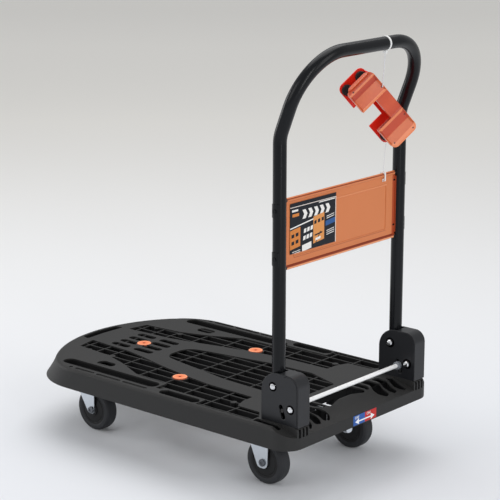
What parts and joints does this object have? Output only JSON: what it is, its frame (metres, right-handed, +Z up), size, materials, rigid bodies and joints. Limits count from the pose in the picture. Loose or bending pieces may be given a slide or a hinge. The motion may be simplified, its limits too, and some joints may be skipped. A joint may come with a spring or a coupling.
{
  "type": "folding platform cart",
  "caption": "Folding platform cart with a moulded lattice deck, fold-down tube handle, foot-pressed release bar, caster brake slide, and a hanging wheel stop.",
  "frame": {"origin": "on the floor, in the middle of the whole cart's length and width", "axes": "+X towards the deck's nose, +Y to the left when the handle's user looks along +X, +Z up"},
  "size_m": [0.834, 0.5, 0.9445],
  "materials": {
    "deck_plastic": "dark grey moulded polypropylene, fine grain",
    "disc_rubber": "orange rubber, matte",
    "bracket_steel": "grey powder coat",
    "tube_paint": "black semi-gloss enamel",
    "panel_paint": "soft orange enamel",
    "stop_paint": "orange-red enamel",
    "zinc_sheet": "bright zinc plate",
    "plated_fasteners": "bright plate",
    "chromed_bar": "chrome",
    "spring_steel": "plain steel",
    "grey_plastic": "grey nylon",
    "black_plastic": "black plastic",
    "core_plastic": "grey wheel core",
    "tyre_rubber": "dark grey rubber",
    "pad_rubber": "black rubber",
    "label_film": "printed film",
    "white_nylon": "white nylon",
    "clear_nylon": "near-clear nylon line"
  },
  "bodies": {
    "base": {"axle_nuts_front": "plated_fasteners", "axles_front": "plated_fasteners", "bracket_bolts": "plated_fasteners", "bracket_left": "bracket_steel", "bracket_nuts": "plated_fasteners", "bracket_right": "bracket_steel", "bracket_screws": "plated_fasteners", "bracket_spacers": "plated_fasteners", "brake_guides": "zinc_sheet", "brake_label": "label_film", "deck": "deck_plastic", "fork_front_left": "zinc_sheet", "fork_front_right": "zinc_sheet", "front_caster_screws": "plated_fasteners", "front_plates": "zinc_sheet", "grip_discs": "disc_rubber", "pivot_bolts": "plated_fasteners", "pivot_nuts": "plated_fasteners", "rear_caster_screws": "plated_fasteners", "rear_plate_left": "zinc_sheet", "rear_plate_right": "zinc_sheet", "release_springs": "spring_steel"},
    "handle": {"handle_tube": "tube_paint", "pivot_bushes": "grey_plastic", "tube_end_plugs": "black_plastic", "handle_panel": "panel_paint", "panel_screws": "plated_fasteners", "panel_saddles": "black_plastic", "panel_label": "label_film", "cable_tie": "white_nylon", "wheel_stop": "stop_paint", "wheel_stop_pads": "pad_rubber", "line_upper": "clear_nylon", "line_lower": "clear_nylon", "panel_tie": "white_nylon"},
    "release_bar": {"release_bar": "chromed_bar", "release_collars": "grey_plastic"},
    "swivel_left": {"fork_rear_left": "zinc_sheet", "swivel_balls_left": "spring_steel", "axle_rear_left": "plated_fasteners", "axle_nut_rear_left": "plated_fasteners"},
    "swivel_right": {"fork_rear_right": "zinc_sheet", "swivel_balls_right": "spring_steel", "axle_rear_right": "plated_fasteners", "axle_nut_rear_right": "plated_fasteners"},
    "wheel_rear_left": {"tyre_rear_left": "tyre_rubber", "wheel_core_rear_left": "core_plastic", "wheel_bush_rear_left": "grey_plastic"},
    "wheel_rear_right": {"tyre_rear_right": "tyre_rubber", "wheel_core_rear_right": "core_plastic", "wheel_bush_rear_right": "grey_plastic"},
    "wheel_front_left": {"tyre_front_left": "tyre_rubber", "wheel_core_front_left": "core_plastic", "wheel_bush_front_left": "grey_plastic"},
    "wheel_front_right": {"tyre_front_right": "tyre_rubber", "wheel_core_front_right": "core_plastic", "wheel_bush_front_right": "grey_plastic"},
    "brake_slide": {"brake_slide": "zinc_sheet"},
    "brake_plunger_left": {"brake_plunger_left": "plated_fasteners"},
    "brake_plunger_right": {"brake_plunger_right": "plated_fasteners"}
  },
  "joints": [
    {"name": "handle_fold", "type": "hinge", "parent": "base", "child": "handle", "pos_m": [-0.33596, 0, 0.249], "axis": [0, 1, 0], "range_deg": [0, 90]},
    {"name": "release_press", "type": "slide", "parent": "base", "child": "release_bar", "axis": [-0.309, 0, -0.9511], "range_m": [0, 0.013], "stiffness_N_per_m": 600, "springref_m": -0.02, "deforming": ["release_springs"]},
    {"name": "swivel_left", "type": "hinge", "parent": "base", "child": "swivel_left", "pos_m": [-0.22856, 0.1444, 0.117], "axis": [0, 0, 1], "continuous": true},
    {"name": "swivel_right", "type": "hinge", "parent": "base", "child": "swivel_right", "pos_m": [-0.22856, -0.1444, 0.117], "axis": [0, 0, 1], "continuous": true},
    {"name": "spin_rear_left", "type": "hinge", "parent": "swivel_left", "child": "wheel_rear_left", "pos_m": [-0.26256, 0.1444, 0.05], "axis": [0, 1, 0], "continuous": true},
    {"name": "spin_rear_right", "type": "hinge", "parent": "swivel_right", "child": "wheel_rear_right", "pos_m": [-0.26256, -0.1444, 0.05], "axis": [0, 1, 0], "continuous": true},
    {"name": "spin_front_left", "type": "hinge", "parent": "base", "child": "wheel_front_left", "pos_m": [0.25164, 0.1444, 0.05], "axis": [0, 1, 0], "continuous": true},
    {"name": "spin_front_right", "type": "hinge", "parent": "base", "child": "wheel_front_right", "pos_m": [0.25164, -0.1444, 0.05], "axis": [0, 1, 0], "continuous": true},
    {"name": "brake_shift", "type": "slide", "parent": "base", "child": "brake_slide", "axis": [0, -1, 0], "range_m": [0, 0.04]},
    {"name": "brake_press_left", "type": "slide", "parent": "base", "child": "brake_plunger_left", "axis": [0, 0, -1], "range_m": [0, 0.004]},
    {"name": "brake_press_right", "type": "slide", "parent": "base", "child": "brake_plunger_right", "axis": [0, 0, -1], "range_m": [0, 0.004]}
  ],
  "couplings": [
    {"joint": "brake_press_left", "follows": "brake_shift", "ratio": 0.1},
    {"joint": "brake_press_right", "follows": "brake_shift", "ratio": 0.1}
  ]
}
